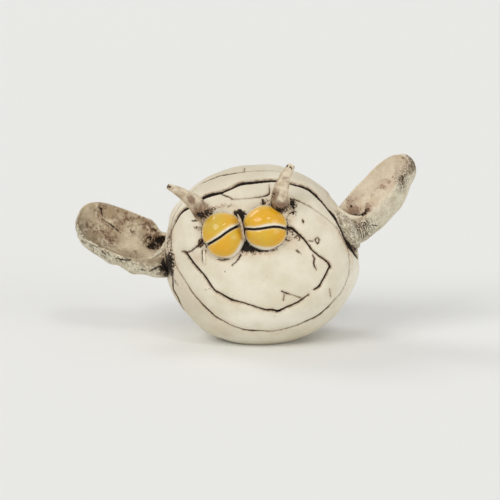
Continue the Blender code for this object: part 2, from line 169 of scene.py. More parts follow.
BODY_BLUSH = [
    (254, 254.5, 20, 3.6, 10, -2), (287, 219, 5, 8, 9), (290, 240, 9, 7, 6, 40), (204, 222, 6, 12, 7, 10),
    (268, 206, 8, 6, 5), (235, 301, 10, 2.4, 8, 20), (198, 257, 8, 5, 7, 40), (211, 254, 5, 3, 6, 30),
    (343, 240, 3, 20, 9, -26), (351, 262, 3, 14, 5, -5), (172, 240, 3, 26, 6, 4), (175, 262, 3, 12, 8, -20),
    (183, 282, 3, 22, 3.5, -32), (212, 208, 12, 3, 6, -10), (236, 207, 22, 3, 3.5),
    (224, 324, 12, 2.4, 5, 25), (225, 333, 2, 1.4, 6), (211, 287, 3, 12, 3.5, -38), (324, 222, 9, 3, 4, 42),
    (348, 283, 2.5, 20, 3, 14), (212, 172, 20, 3, 3.5, -28), (295, 240, 6, 14, 4, -42),
]
# Darker washes of clay; the spots on the top band are painted shade
BODY_WASH_AND_SHADE = [
    (184, 300, 14, 34, 8.5, -32), (228, 336, 60, 6, 3.5, 8), (320, 322, 30, 8, 2.5, -34),
    (165, 255, 6, 40, 6), (190, 262, 12, 8, 3.5, 40), (230, 176, 50, 12, 8.5, -14),
    (310, 180, 30, 12, 4.5, 30), (240, 203, 30, 8, 5, -6), (318, 226, 12, 8, 3, 45),
]
# Painted light: a paler sheen down the right side and lighter patches low on the front
BODY_PAINTED_LIGHT = [
    (353, 285, 8, 30, 9, 12), (265, 320, 40, 6, 7), (300, 318, 20, 6, 5, -20), (250, 338, 30, 4, 4),
]

# Bulges of the outline: x, y in pixels, height and reach in millimetres
BODY_BULGES = [
    (332, 203, -2.6, 6), (358, 275, 1.3, 9), (290, 337, -1.0, 13), (206, 331, 1.1, 8), (167, 233, -1.0, 6),
    (169, 279, -1.1, 6), (278, 166, 0.6, 7), (173, 210, 0.5, 5), (320, 187, -0.4, 6),
]

# Ears: pixels of root and tip, sizes, depth and spot of the hole, bumps of the outline, spots, and scratches
# with whether they are on the inside
EAR_RIM = 0.9
EAR_RIM_BAND = 7.0
EAR_NEAR_RIM = 2.4
EAR_FLOOR = 6.0
EAR_HOLLOW_SET = 11.0
EAR_RIM_RISE = 0.8
EAR_ROOT_LENGTH = 8.0
EAR_FULLNESS = 2.6
LEFT_EAR = {
    "name": "left_ear", "root": (172, 254), "tip": (77, 215), "width": 33.4, "depth": 14.4, "roll": 45.0,
    "hole": (3.5, 156, 243, 11, 6, 10, -8),
    "bumps": [
        (98, 201, 0.6, 7), (75, 225, -0.5, 8), (164, 226, -3.0, 4.5), (155, 222, 0.4, 3), (111, 262, 1.0, 3),
        (132, 272, 1.3, 3.5),
    ],
    "stains": [
        (159, 239, 7, 4, 12, -35), (152, 243, 6, 4, 10, 10), (148, 239, 5, 3, 8), (165, 236, 3, 4, 14, -30),
        (154.5, 228, 4, 2.6, 9, 30), (166, 263, 4, 8, 14, -3), (145, 222, 7, 3, 4, 30),
        (109, 239.5, 3.5, 3, 6), (101, 212, 4, 4, 3.5),
    ],
    "browns": [
        (108.5, 240, 7, 5.5, 13, 35), (101, 234, 11, 5, 10, 38), (89.5, 226, 5, 4, 9, 40),
        (97, 211, 8, 5, 8, 10), (102, 219, 8, 5, 10, 35), (108, 228, 14, 8, 7, 20), (128, 219, 6, 9, 9, -20),
        (118.4, 211.8, 2.2, 2.2, 11), (130, 232.8, 5, 3, 9), (134, 251, 4, 2, 9, 30),
        (147, 223, 12, 7, 10, 35), (155, 230, 8, 7, 11, 30), (152, 238, 12, 8), (120, 225, 14, 9, 6, 30),
    ],
    "light": [
        (140, 245, 17, 9, 10, 25), (88, 216, 7, 12, 5, -10), (160, 253, 5, 4, 10, -40),
        (133, 212, 14, 3, 6, 25), (118, 246, 9, 3, 6, 25),
    ],
    "pits": [
        (96, 246, 22, 7, 8.5, 32), (82, 230, 6, 14, 10, -10), (126, 259, 18, 6, 8, 12),
        (152, 264, 18, 7, 6.5, 10),
    ],
    "outer_browns": [(153, 262, 14, 4, 3.5, 12), (78, 225, 4, 14, 3)],
    "outer_stains": [
        (167, 264, 5.6, 13, 14.5, -3), (162, 268, 4.5, 7), (101.6, 251, 0.8, 3, 7), (158, 264, 8, 5, 4),
        (103, 251, 5, 3, 3.5, 30), (130, 258, 8, 2.4, 4.5, 5),
    ],
    "scratches": [
        (True, [(108.6, 223, 8, 9), (111.5, 225, 12), (115, 228, 14), (120.5, 233, 7, 9)]),
        (True, [(99.5, 208, 14, 9), (101, 208.5, 16), (101.8, 212, 10, 9), (102.4, 215.5, 7, 8)]),
        (False, [(116.3, 258, 8, 9), (122, 259.5, 11), (128.2, 260.2, 10), (133.5, 258.4, 16)]),
        (False, [(127.2, 258, 7, 8), (128.9, 255.6, 14)]),
        (False, [(140.9, 269.3, 10, 9), (145, 270.4, 7, 9)]),
        (False, [(149.3, 271.4, 7, 9), (154.2, 269, 13)]),
        (False, [(85.4, 231.4, 9, 9), (83.3, 237.7, 6, 8)]),
    ],
}
RIGHT_EAR = {
    "name": "right_ear", "root": (341, 225), "tip": (408, 156), "width": 32.0, "depth": 15.5, "roll": 62.0,
    "hole": (2.5, 355, 214, 8, 3, 10, -12),
    "bumps": [
        (411, 186, -1.6, 6), (401, 152, -0.9, 4), (414, 160, 0.3, 4), (361, 244, 0.4, 4),
    ],
    "stains": [
        (355, 214.6, 7.5, 2, 19, -12), (351, 208.7, 1.4, 1.4, 11), (364, 210.5, 5, 1.4, 8.5, -42),
        (348, 199, 4, 5, 4.5), (402.5, 156, 1.2, 0.8, 9), (386, 158.5, 5, 1, 6, -25), (350, 206, 8, 6, 3.5),
    ],
    "browns": [
        (387, 181.5, 5, 4, 9, -20), (381.5, 188.8, 5, 2.6, 10, -10), (374, 193.6, 2.4, 1.6, 9, -25),
        (363, 194.3, 2.4, 1.4, 8, -15), (393.8, 175.3, 2, 1.6, 9), (351, 211, 8, 4, 12, -15),
        (366.5, 208.5, 8, 3, 11, -42), (352, 201, 7, 8, 6), (397.5, 171, 2.4, 7, 6, 12),
        (383, 186, 10, 6, 4, -50),
    ],
    "light": [(392, 168, 9, 10, 5, 30), (366, 186, 8, 14, 5, 42)],
    "pits": [
        (404, 180, 5.5, 9, 14, 15), (360, 229, 12, 9, 13, -20), (410, 165, 5, 9, 8, 10), (349, 236, 6, 9, 8),
    ],
    "outer_browns": [
        (410, 165, 6, 10, 10, 8), (346, 222, 6, 4, 7), (344, 232, 4, 7, 6, -20), (404, 182, 4, 6, 5, 15),
    ],
    "outer_stains": [
        (353, 226, 4, 5, 7.5, 40), (346.5, 221, 4, 3, 6, 30), (363.6, 227.5, 1, 0.8, 11),
        (361, 228, 9, 5, 4, -10), (404, 180, 3.4, 6, 6, 15),
    ],
    "scratches": [(False, [(372, 225, 6, 9), (376.2, 225.4, 8, 9)])],
}

# Eyes: pixels of the centre and slit, width, height, white margins, dents and the slit's width
EYE_BULGE = 9.5
EYE_SINK = 2.0
SLIT_WIDTH = 1.15
LEFT_EYE = {
    "name": "left_eye", "centre": (223.5, 235), "width": 20.4, "height": 22.4,
    "slit": [
        (204, 246.3), (207, 245), (211, 242.7), (217, 239), (221, 236.4), (226.5, 232.2), (232, 228.7),
        (239, 225.4),
    ],
    "above": 0.8, "below": 0.0, "rim_towards": -32.0, "rim_width": 1.3, "rim_spread": 46.0,
    "dents": [
        (242.5, 231, -0.5, 3), (237, 214, 0.8, 4), (208, 219, 0.3, 5), (210, 254.5, 0.5, 5),
        (232, 257, 0.4, 4),
    ],
}
RIGHT_EYE = {
    "name": "right_eye", "centre": (265.5, 228), "width": 21.8, "height": 21.4,
    "slit": [
        (243, 229.2), (253, 229.4), (260, 228.7), (267, 227.6), (274, 226.6), (281, 226.9), (288, 228.9),
    ],
    "above": 0.8, "below": 0.05, "rim_towards": -94.0, "rim_width": 1.1, "rim_spread": 42.0,
    "dents": [(243, 234, -0.3, 4), (264, 206.5, 0.5, 6), (245, 218, 0.5, 4)],
}
EYE_OLIVE = [(215, 223, 10, 8, 7.5, -40), (232, 236, 5, 5, 4), (256, 238, 9, 4, 3.5)]
EYE_AMBER = [(220, 249, 12, 5, 8.5, 10), (266, 214, 15, 6, 7, 10), (280, 236, 6, 5, 6), (229, 222, 6, 4, 5)]

# Horns: pixels, radii and reach towards the viewer, from the base to the tip, and the pit as steps ahead
# and shares of the tip's radius
HORN_END = [(0.3, 0.95), (0.45, 0.85), (0.4, 0.76), (0.1, 0.7), (-0.6, 0.62), (-1.2, 0.5), (-1.9, 0.32)]
LEFT_HORN = {
    "name": "left_horn", "line": [(206, 218), (196, 204), (184, 194), (168.5, 186.5)],
    "radii": (4.9, 3.9, 2.8, 1.5), "forward": (-3.0, 2.0, 4.0, 6.0),
    "stains": [
        (171, 187, 3, 2.2, 7.5, 20), (205, 214.5, 8, 6, 10, 10), (200, 213, 6, 8, 6, 20),
        (181, 187.6, 4, 0.8, 8, 20),
    ],
    "browns": [(192.5, 199.5, 6, 4.5, 11, 50), (201, 210, 9, 11, 11, 20), (180, 191, 9, 2.4, 5, 30)],
}
RIGHT_HORN = {
    "name": "right_horn", "line": [(279.5, 212), (280, 195), (284, 181), (291, 166)],
    "radii": (5.2, 4.2, 3.1, 2.2), "forward": (-3.0, 2.5, 2.0, -2.0),
    "stains": [
        (289, 167, 1.6, 1.8), (293, 168, 1.3, 1.8, 9), (275, 195, 2, 7, 6, 8), (280, 209, 11, 4),
        (272, 204, 3, 7, 9),
    ],
    "browns": [
        (276, 196, 3, 9, 10, 8), (275, 185, 2.4, 8, 8, 18), (280, 206, 12, 6, 11), (285, 178, 6, 2, 8, -15),
    ],
}

# Colours, as they are under plain light
CREAM = (0.79, 0.735, 0.60)
CREAM_DULL = (0.70, 0.635, 0.49)
# Colour of the washes, also used for painted shade
WASH_AND_SHADE = (0.60, 0.53, 0.40)
# Painted light: a paler, greyer cream for the painted sheen and lighter patches
PAINTED_LIGHT = (0.86, 0.83, 0.72)
BLUSH = (0.60, 0.43, 0.29)
STAIN_EDGE = (0.24, 0.145, 0.08)
STAIN = (0.013, 0.008, 0.005)
EAR_TAN = (0.42, 0.32, 0.20)
EAR_PALE = (0.74, 0.635, 0.46)
EAR_PINK = (0.80, 0.71, 0.555)
EAR_PINK_DULL = (0.70, 0.58, 0.43)
EAR_OUTER = (0.80, 0.74, 0.575)
EAR_BROWN = (0.165, 0.083, 0.05)
EAR_DUN = (0.36, 0.235, 0.17)
EAR_MOSS = (0.25, 0.195, 0.115)
EAR_PIT = (0.10, 0.07, 0.045)
HORN_TAN = (0.74, 0.64, 0.48)
YELLOW = (0.70, 0.40, 0.02)
YELLOW_PALE = (0.76, 0.55, 0.16)
AMBER = (0.74, 0.365, 0.012)
OLIVE = (0.585, 0.415, 0.06)
WHITE_SLIP = (0.80, 0.74, 0.61)
FLOOR = (0.85, 0.85, 0.83)
BACKGROUND = (0.81, 0.81, 0.79)

# The studio: the floor's reach in metres and the strength of the light from all round
FLOOR_REACH = 6.0
ROOM_LIGHT = 0.5


# Places on the sight lines
def drawn(pixels):
    """The points of the drawing plane, upright through the body's centre, for these pixels."""
    offset = (np.asarray(pixels, float) - DRAWN_CENTRE) * DRAWN_SCALE
    return CENTRE + offset[..., :1] * SIGHT_RIGHT + offset[..., 1:] * SIGHT_UP


def at_depth(pixels, depth):
    """The points at y = depth on the pixels' sight lines."""
    target = drawn(pixels)
    share = (np.asarray(depth)[..., None] - EYE_POINT[1]) / (target[..., 1:2] - EYE_POINT[1])
    return EYE_POINT + share * (target - EYE_POINT)


def pixels_of(points):
    """The pixels at which points are seen."""
    ray = points - EYE_POINT
    share = -SIGHT_DISTANCE / (ray @ TOWARDS_EYE)
    offset = EYE_POINT + share[..., None] * ray - CENTRE
    flat = np.stack([offset @ SIGHT_RIGHT, offset @ SIGHT_UP], -1)
    return DRAWN_CENTRE + flat / DRAWN_SCALE


def leaned(along, depth, upward):
    """Points of the body, which leans to one side, from places along, into and up it."""
    level = along * cos(LEAN) + upward * sin(LEAN)
    return CENTRE + np.stack([level, depth, upward * cos(LEAN) - along * sin(LEAN)], -1)


def skin_level(points):
    """1 on the body's skin, less inside it and more outside."""
    x, y, z = np.moveaxis(points - CENTRE, -1, 0)
    along = (x * cos(LEAN) - z * sin(LEAN)) / HALF_WIDTH
    upward = (x * sin(LEAN) + z * cos(LEAN)) / HALF_HEIGHT
    return np.hypot(along, upward) ** FULLNESS + np.abs(y / HALF_DEPTH) ** FULLNESS


def unit(vectors):
    return vectors / np.linalg.norm(vectors, axis=-1, keepdims=True)


def skin_normal(points):
    step = 0.05 * np.eye(3)
    return unit(np.stack([skin_level(points + s) - skin_level(points - s) for s in step], -1))


def on_skin(pixels):
    """The points of the body's skin that the pixels' sight lines meet first, or pass closest to."""
    pixels = np.asarray(pixels, float)
    tries = np.linspace(-HALF_DEPTH, HALF_DEPTH, SIGHT_TRIES)
    levels = np.stack([skin_level(at_depth(pixels, np.full(pixels.shape[:-1], y))) for y in tries])
    inside = tries[levels.argmin(0)]
    outside = np.full(inside.shape, -1.5 * HALF_DEPTH)
    grazing = at_depth(pixels, inside)
    for _ in range(HALVINGS):
        middle = (inside + outside) / 2
        out = skin_level(at_depth(pixels, middle)) > 1.0
        outside = np.where(out, middle, outside)
        inside = np.where(out, inside, middle)
    met = at_depth(pixels, inside)
    beside = CENTRE + (grazing - CENTRE) * skin_level(grazing)[..., None] ** (-1 / FULLNESS)
    return np.where((levels.min(0) > 1.0)[..., None], beside, met)


# Noise and soft steps
def step_between(value, low, high):
    share = np.clip((value - low) / (high - low), 0.0, 1.0)
    return share * share * (3 - 2 * share)


def lumps(points, size, seed):
    """Smooth noise from -1 to 1 with lumps of this size."""
    place = points / size + 37.7 * seed
    cell = np.floor(place).astype(np.int64)
    share = place - cell
    share = share**3 * (share * (share * 6 - 15) + 10)
    total = np.zeros(len(points))
    for corner in np.ndindex(2, 2, 2):
        spot = (cell + corner) & 0x3FF
        key = (spot[:, 0] * 73856093 ^ spot[:, 1] * 19349663 ^ spot[:, 2] * 83492791 ^ seed * 7919) & 0xFFFFFF
        key = (key * 1103515245 + 12345) & 0x7FFFFFFF
        key = ((key >> 7) ^ key) & 0xFFFF
        weight = np.prod(np.where(corner, share, 1 - share), axis=1)
        total += weight * (key / 32767.5 - 1)
    return total


def rough_lift(points, seed, *layers):
    """The sum of layers of lumps, each a height and a size, with seeds that follow one another."""
    return sum(height * lumps(points, size, seed + k) for k, (height, size) in enumerate(layers))


def spots(pixels, rows):
    """The strongest of some soft spots in the drawing at each pixel."""
    total = np.zeros(len(pixels))
    for row in rows:
        x, y, wide, high, strength, tilt = (*row, *(10, 0)[len(row) - 4:])
        turn = radians(tilt)
        right, down = pixels[:, 0] - x, pixels[:, 1] - y
        u = (right * cos(turn) + down * sin(turn)) / wide
        v = (down * cos(turn) - right * sin(turn)) / high
        total = np.maximum(total, strength / 10 * np.exp(-((u * u + v * v) ** 1.2) * 0.7))
    return total


def mound(pixels, x, y, reach):
    """1 at the pixel x, y, less away from it, with this reach in millimetres."""
    return np.exp(-((pixels - (x, y)) ** 2).sum(1) * PIXEL**2 / reach**2)


def ragged(pixels, points, seed):
    """The pixels pushed about by noise, so that spots laid on them have uneven outlines."""
    shift = [2.6 * lumps(points, 5, seed + k) + 1.4 * lumps(points, 2, seed + 2 + k) for k in range(2)]
    return pixels + np.stack(shift, -1)


# Meshes
def ball_grid(squares):
    """Directions on a ball and its four-sided faces, from the lattice on a box's surface."""
    y_count, z_count = squares[1] + 1, squares[2] + 1
    faces = []
    for axis in range(3):
        u, v = (axis + 1) % 3, (axis + 2) % 3
        first, second = np.meshgrid(np.arange(squares[u] + 1), np.arange(squares[v] + 1), indexing="ij")
        for end in (0, squares[axis]):
            spot = [None] * 3
            spot[u], spot[v], spot[axis] = first, second, np.full(first.shape, end)
            key = (spot[0] * y_count + spot[1]) * z_count + spot[2]
            square = np.stack([key[:-1, :-1], key[1:, :-1], key[1:, 1:], key[:-1, 1:]], -1).reshape(-1, 4)
            faces.append(square if end else square[:, ::-1])
    keys, faces = np.unique(np.concatenate(faces), return_inverse=True)
    lattice = np.stack([keys // (y_count * z_count), keys // z_count % y_count, keys % z_count], -1)
    turned = lattice / np.array(squares) * 2 - 1
    return unit(np.tan(turned * pi / 4)), faces.reshape(-1, 4)


def rounded(directions, fullness, pole):
    """A ball's points moved out to a fuller roundness about the axis numbered pole."""
    around = np.sqrt(np.maximum(1 - directions[:, pole] ** 2, 0.0))
    level = around**fullness + np.abs(directions[:, pole]) ** fullness
    return directions * level[:, None] ** (-1 / fullness)


def tube_rings(centres, reach, radii, around):
    """The points of rings round a line that runs along reach, and their outward directions."""
    side = unit(np.cross(reach, TOWARDS_EYE))
    theta = np.linspace(0, 2 * pi, around, endpoint=False)[None, :, None]
    out = np.cos(theta) * side[:, None] + np.sin(theta) * np.cross(side, reach)[:, None]
    return (centres[:, None] + out * radii[:, None, None]).reshape(-1, 3), out.reshape(-1, 3)


def tube_faces(count, around):
    """The faces between rings of points, and those that close both ends at two more points."""
    index = np.arange(count * around).reshape(count, around)
    turned = np.roll(index, -1, axis=1)
    sides = np.stack([index[:-1], turned[:-1], turned[1:], index[1:]], -1).reshape(-1, 4).tolist()
    start = [[index.size, b, a] for a, b in zip(index[0], turned[0])]
    return sides + start + [[index.size + 1, a, b] for a, b in zip(index[-1], turned[-1])]


def add_object(name, data):
    thing = bpy.data.objects.new(name, data)
    bpy.context.scene.collection.objects.link(thing)
    return thing


def add_piece(name, points, faces, material, attributes):
    """A closed smooth piece in the frame, which rides on the body and stands for the figurine's solid."""
    mesh = bpy.data.meshes.new(name)
    mesh.from_pydata((points * MM).tolist(), [], faces.tolist() if isinstance(faces, np.ndarray) else faces)
    for key, values in attributes.items():
        kind, part = ("FLOAT", "value") if values.ndim == 1 else ("FLOAT_VECTOR", "vector")
        mesh.attributes.new(key, kind, "POINT").data.foreach_set(part, values.astype(np.float32).ravel())
    mesh.shade_smooth()
    mesh.materials.append(material)
    piece = add_object(name, mesh)
    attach(piece, "root")
    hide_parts("figurine")


def normals_of(points, faces):
    """Outward directions at the points of a mesh of four-sided faces."""
    corners = points[faces]
    across = np.cross(corners[:, 2] - corners[:, 0], corners[:, 3] - corners[:, 1])
    total = np.zeros_like(points)
    for k in range(faces.shape[1]):
        np.add.at(total, faces[:, k], across)
    return unit(total)


# Strokes along the skin
def curve(rows, places):
    """Rows on a smooth line through the given rows, at these places counted along them."""
    padded = np.concatenate([2 * rows[:1] - rows[1:2], rows, 2 * rows[-1:] - rows[-2:-1]])
    first = np.minimum(places.astype(int), len(rows) - 2)
    t = (places - first)[:, None]
    a, b, c, d = (padded[first + k] for k in range(4))
    return 0.5 * (2 * b + (c - a) * t + (2 * a - 5 * b + 4 * c - d) * t**2 + (3 * b - a - 3 * c + d) * t**3)


def smooth_rows(rows, per_pixel=2.0):
    """Rows along a smooth line through the given rows, about per_pixel of them for each pixel."""
    rows = np.asarray(rows, float)
    lengths = np.linalg.norm(np.diff(rows[:, :2], axis=0), axis=1)
    counts = np.maximum((lengths * per_pixel).astype(int), 1)
    places = [k + np.arange(count) / count for k, count in enumerate(counts)]
    return curve(rows, np.concatenate(places + [[len(rows) - 1.0]]))


def stroke_rows(rows):
    return smooth_rows([(*row, 10)[:4] for row in rows]) * (1, 1, 0.1, 0.1)


def body_stroke(rows):
    """A stroke on the skin: its points, tangents, normals, half widths and darkness."""
    fine = stroke_rows(rows)
    flat, wide = fine[:, :2], np.maximum(fine[:, 2:3], THINNEST)
    heading = np.gradient(flat, axis=0)
    across = unit(np.stack([-heading[:, 1], heading[:, 0]], -1)) * wide / 2
    width = np.linalg.norm(on_skin(flat + across) - on_skin(flat - across), axis=1)
    points = on_skin(flat)
    half = np.minimum(width / 2, wide[:, 0] * PIXEL)
    return points, unit(np.gradient(points, axis=0)), skin_normal(points), half, fine[:, 3]


def stroke_fields(points, strokes):
    """Columns of signed distance, half width and darkness of the nearest stroke, and its plain half width.

    The column's half width is negative where no stroke is near, or past its end.
    """
    spine, tangent, normal, half, dark = (np.concatenate(parts) for parts in zip(*strokes))
    tip = np.concatenate([np.r_[-1.0, np.zeros(len(stroke[0]) - 2), 1.0] for stroke in strokes])
    nearest = np.empty(len(points), int)
    lengths = (spine**2).sum(1)
    for start in range(0, len(points), POINTS_AT_ONCE):
        block = slice(start, start + POINTS_AT_ONCE)
        nearest[block] = (lengths - 2 * points[block] @ spine.T).argmin(1)
    away = points - spine[nearest]
    along = (away * tangent[nearest]).sum(1)
    across = (away * np.cross(normal[nearest], tangent[nearest])).sum(1)
    distance = np.hypot(along, across) * np.where(across < 0, -1.0, 1.0)
    past = np.maximum(along * tip[nearest], 0.0)
    near = (np.abs(distance) < half[nearest] + 1.0) & (past < STROKE_END)
    width = np.where(near, half[nearest] * (1 - past / STROKE_END), -1.0)
    return np.stack([distance, width, dark[nearest]], -1), half[nearest]


# Materials
def put(tree, socket, value):
    if isinstance(value, bpy.types.NodeSocket):
        tree.links.new(value, socket)
    else:
        socket.default_value = (*value, 1.0) if socket.type == "RGBA" else value


def add_node(tree, kind, inputs=(), **settings):
    """A new node with these settings, and with values or other nodes' outputs in its inputs."""
    node = tree.nodes.new("ShaderNode" + kind)
    for key, value in settings.items():
        setattr(node, key, value)
    for key, value in dict(inputs).items():
        put(tree, node.inputs[key], value)
    return node


class Paint:
    """A material whose colour is covered step by step. Sizes of noise are in millimetres."""

    def __init__(self, name, colour):
        self.material = bpy.data.materials.new(name)
        self.material.use_nodes = True
        self.tree = self.material.node_tree
        self.place = add_node(self.tree, "TexCoord").outputs["Object"]
        self.colour = colour

    def maths(self, operation, a, b=0.0, clamp=False):
        return add_node(self.tree, "Math", {0: a, 1: b}, operation=operation, use_clamp=clamp).outputs[0]

    def times(self, a, b, clamp=False):
        return self.maths("MULTIPLY", a, b, clamp)

    def plus(self, a, b):
        return self.maths("ADD", a, b)

    def minus(self, a, b):
        return self.maths("SUBTRACT", a, b)

    def between(self, value, low, high, start=0.0, end=1.0):
        inputs = dict(enumerate((value, low, high, start, end)))
        return add_node(self.tree, "MapRange", inputs, interpolation_type="SMOOTHSTEP").outputs[0]

    def mix(self, share, first, second):
        return add_node(self.tree, "Mix", {0: share, 6: first, 7: second}, data_type="RGBA").outputs[2]

    def cover(self, share, colour):
        self.colour = self.mix(share, self.colour, colour)

    def noise(self, size, detail=3.0, roughness=0.5, distortion=0.0):
        inputs = {"Detail": detail, "Roughness": roughness, "Distortion": distortion}
        inputs.update({"Vector": self.place, "Scale": 1 / (size * MM)})
        return add_node(self.tree, "TexNoise", inputs).outputs["Fac"]

    def patches(self, noise, low, high, start=0.0, end=1.0):
        """Noise of this size, detail and so on, spread from start to end between two levels."""
        return self.between(self.noise(*noise), low, high, start, end)

    def wobble(self, noise, amount):
        return self.times(self.minus(self.noise(*noise), 0.5), amount)

    def prints(self, apart):
        """Winding ridges, like those of a fingertip pressed into the clay, this far apart."""
        inputs = {"Vector": self.place, "Scale": 0.314 / (apart * MM), "Distortion": 7, "Detail": 3}
        inputs["Detail Scale"] = 0.7
        return add_node(self.tree, "TexWave", inputs, bands_direction="DIAGONAL").outputs["Fac"]

    def field(self, name, output="Fac"):
        return add_node(self.tree, "Attribute", attribute_name=name).outputs[output]

    def fields(self, name):
        return add_node(self.tree, "SeparateXYZ", {0: self.field(name, "Vector")}).outputs

    def bump(self, noise, depth, normal=None):
        """Relief by noise, or by another height, laid over the relief given as normal."""
        height = self.noise(*noise) if isinstance(noise, tuple) else noise
        inputs = {"Strength": 1, "Distance": depth * MM, "Height": height}
        if normal:
            inputs["Normal"] = normal
        return add_node(self.tree, "Bump", inputs).outputs["Normal"]

    def stain(self, noise):
        """Dark oxide, and painted contact shade at joints, where the stain field and the ragged noise are
        strong, with a brown edge.
        """
        stain = self.field("stain")
        reach = self.maths("MINIMUM", self.times(stain, 6), 3)
        level = self.plus(stain, self.times(self.minus(self.noise(*noise), 0.5), reach))
        self.cover(self.between(level, 0.2, 0.7, 0, 0.85), STAIN_EDGE)
        self.cover(self.between(level, 0.58, 0.8), STAIN)

    def finish(self, **values):
        shader = self.tree.nodes["Principled BSDF"]
        for key, value in {"Base Color": self.colour, **values}.items():
            put(self.tree, shader.inputs[key.replace("_", " ")], value)
        return self.material


def body_material():
    paint = Paint("cream_clay", CREAM)
    paint.cover(paint.patches((14, 4, 0.6), 0.36, 0.66), CREAM_DULL)
    paint.cover(paint.patches((3, 5, 0.65), 0.3, 0.75, 0, 0.25), CREAM_DULL)
    # Darker washes, with painted shade on the top band and on surfaces that face down
    paint.cover(paint.times(paint.field("wash_and_shade"), 0.75), WASH_AND_SHADE)
    # Painted light: a paler sheen on the right side and lighter patches low on the front
    paint.cover(paint.field("painted_light"), PAINTED_LIGHT)
    patchy = paint.patches((1.8, 5, 0.7), 0.35, 0.65, 0.15, 1)
    paint.cover(paint.times(paint.field("blush"), patchy, True), BLUSH)
    paint.cover(paint.patches((0.75, 2, 0.5), 0.70, 0.78, 0, 0.55), STAIN_EDGE)
    paint.stain((0.9, 5, 0.68))
    wobble = paint.wobble((0.8, 3, 0.6), 0.6)
    for group in GROOVES:
        distance, half, dark = paint.fields(group)
        inside = paint.minus(half, paint.maths("ABSOLUTE", paint.plus(distance, wobble)))
        brown = paint.times(paint.between(inside, -0.9, 0.05), dark)
        paint.cover(paint.times(brown, patchy), STAIN_EDGE)
        paint.cover(paint.times(paint.between(inside, -0.14, 0.10), dark), STAIN)
    relief = paint.bump((2.6, 4, 0.55), 0.16, paint.bump((0.45, 4, 0.6), 0.035))
    rough = paint.patches((6, 3, 0.5), 0.3, 0.7, 0.5, 0.68)
    return paint.finish(Roughness=rough, Normal=relief, Specular_IOR_Level=0.14)


def ear_material(name, light, dull, brown, smear):
    paint = Paint(name, light)
    paint.cover(paint.patches((5, 5, 0.65), 0.34, 0.58), dull)
    paint.cover(paint.field("light"), light)
    outer = paint.mix(paint.patches((4, 5, 0.65), 0.4, 0.7, 0, 0.5), EAR_OUTER, EAR_TAN)
    paint.cover(paint.field("outside"), outer)
    patchy = paint.patches((1.6, 6, 0.72), 0.41, 0.61, smear, 1.3)
    brown = paint.mix(paint.field("outside"), brown, EAR_MOSS)
    paint.cover(paint.between(paint.times(paint.field("brown"), patchy), 0.05, 1, 0, 0.9), brown)
    paint.cover(paint.patches((0.9, 5, 0.7), 0.54, 0.72, 0, 0.4), brown)
    specks = paint.patches((0.5, 2, 0.55), 0.55, 0.62)
    ridges = paint.between(paint.times(paint.prints(0.8), patchy), 0.45, 0.8)
    pits = paint.maths("MAXIMUM", specks, ridges)
    paint.cover(paint.times(pits, paint.field("pitted")), EAR_PIT)
    paint.stain((0.9, 5, 0.7))
    distance, half, dark = paint.fields("scratches")
    line = paint.between(paint.minus(half, paint.maths("ABSOLUTE", distance)), -0.2, 0.1)
    paint.cover(paint.times(line, dark), STAIN)
    sunk = paint.times(pits, paint.plus(paint.field("pitted"), 0.2))
    height = paint.minus(paint.noise(1.2, 5, 0.65), paint.times(sunk, 0.6))
    relief = paint.bump(height, 0.26, paint.bump((0.4, 3, 0.6), 0.04))
    rough = paint.patches((3,), 0.3, 0.7, 0.6, 0.8)
    return paint.finish(Roughness=rough, Normal=relief, Specular_IOR_Level=0.18)


def horn_material():
    paint = Paint("horn_clay", HORN_TAN)
    paint.cover(paint.patches((4, 5, 0.65), 0.35, 0.7), EAR_TAN)
    level = paint.plus(paint.field("brown"), paint.minus(paint.noise(1.6, 5, 0.68), 0.5))
    paint.cover(paint.between(level, 0.25, 1.15, 0, 0.85), EAR_BROWN)
    paint.cover(paint.patches((0.9, 3, 0.6), 0.6, 0.75, 0, 0.35), EAR_BROWN)
    paint.stain((0.9, 4, 0.65))
    relief = paint.bump((1.4, 5, 0.62), 0.2, paint.bump((0.4, 3, 0.6), 0.035))
    rough = paint.patches((3,), 0.3, 0.7, 0.55, 0.75)
    return paint.finish(Roughness=rough, Normal=relief, Specular_IOR_Level=0.22)


def eye_material():
    paint = Paint("yellow_glaze", YELLOW)
    distance, half, edge = paint.fields("glaze")
    paint.cover(paint.patches((6, 3, 0.5), 0.4, 0.64), AMBER)
    paint.cover(paint.patches((2.2, 4, 0.6, 0.9), 0.45, 0.72, 0, 0.7), OLIVE)
    paint.cover(paint.field("amber"), AMBER)
    paint.cover(paint.field("olive"), OLIVE)
    paint.cover(paint.between(edge, 0.2, 2, 0.35, 0), YELLOW_PALE)
    paint.cover(paint.patches((1.4, 4, 0.6, 0.5), 0.56, 0.7, 0, 0.3), YELLOW_PALE)
    wobble = paint.wobble((1.6, 3, 0.6), 0.8)
    streaked = paint.plus(paint.plus(edge, wobble), paint.wobble((0.7, 3, 0.65), 1.1))
    paint.colour = paint.mix(paint.between(streaked, -0.5, 0.8), WHITE_SLIP, paint.colour)
    inside = paint.minus(half, paint.plus(paint.maths("ABSOLUTE", distance), paint.times(wobble, 0.2)))
    line = paint.between(inside, -0.12, 0.12)
    paint.cover(paint.between(inside, -0.4, 0, 0, 0.5), STAIN_EDGE)
    paint.cover(line, STAIN)
    # The part of the eye sunk into the body is painted dark: oxide and painted contact shade in the joint
    paint.cover(paint.between(paint.field("sunk_joint_shade"), 0.3, 0.7), STAIN)
    relief, rough = paint.bump((2.5, 3, 0.5), 0.12), paint.between(line, 0, 1, 0.2, 0.6)
    return paint.finish(
        Roughness=rough, Normal=relief, Specular_IOR_Level=0.15, Coat_Weight=0.5, Coat_Roughness=0.08)


def slip_material():
    paint = Paint("slip", CREAM)
    paint.cover(paint.patches((1.5, 4, 0.6), 0.3, 0.7, 0, 0.6), BLUSH)
    paint.stain((0.8, 4, 0.6))
    return paint.finish(Roughness=0.45, Normal=paint.bump((0.9, 4, 0.6), 0.12))


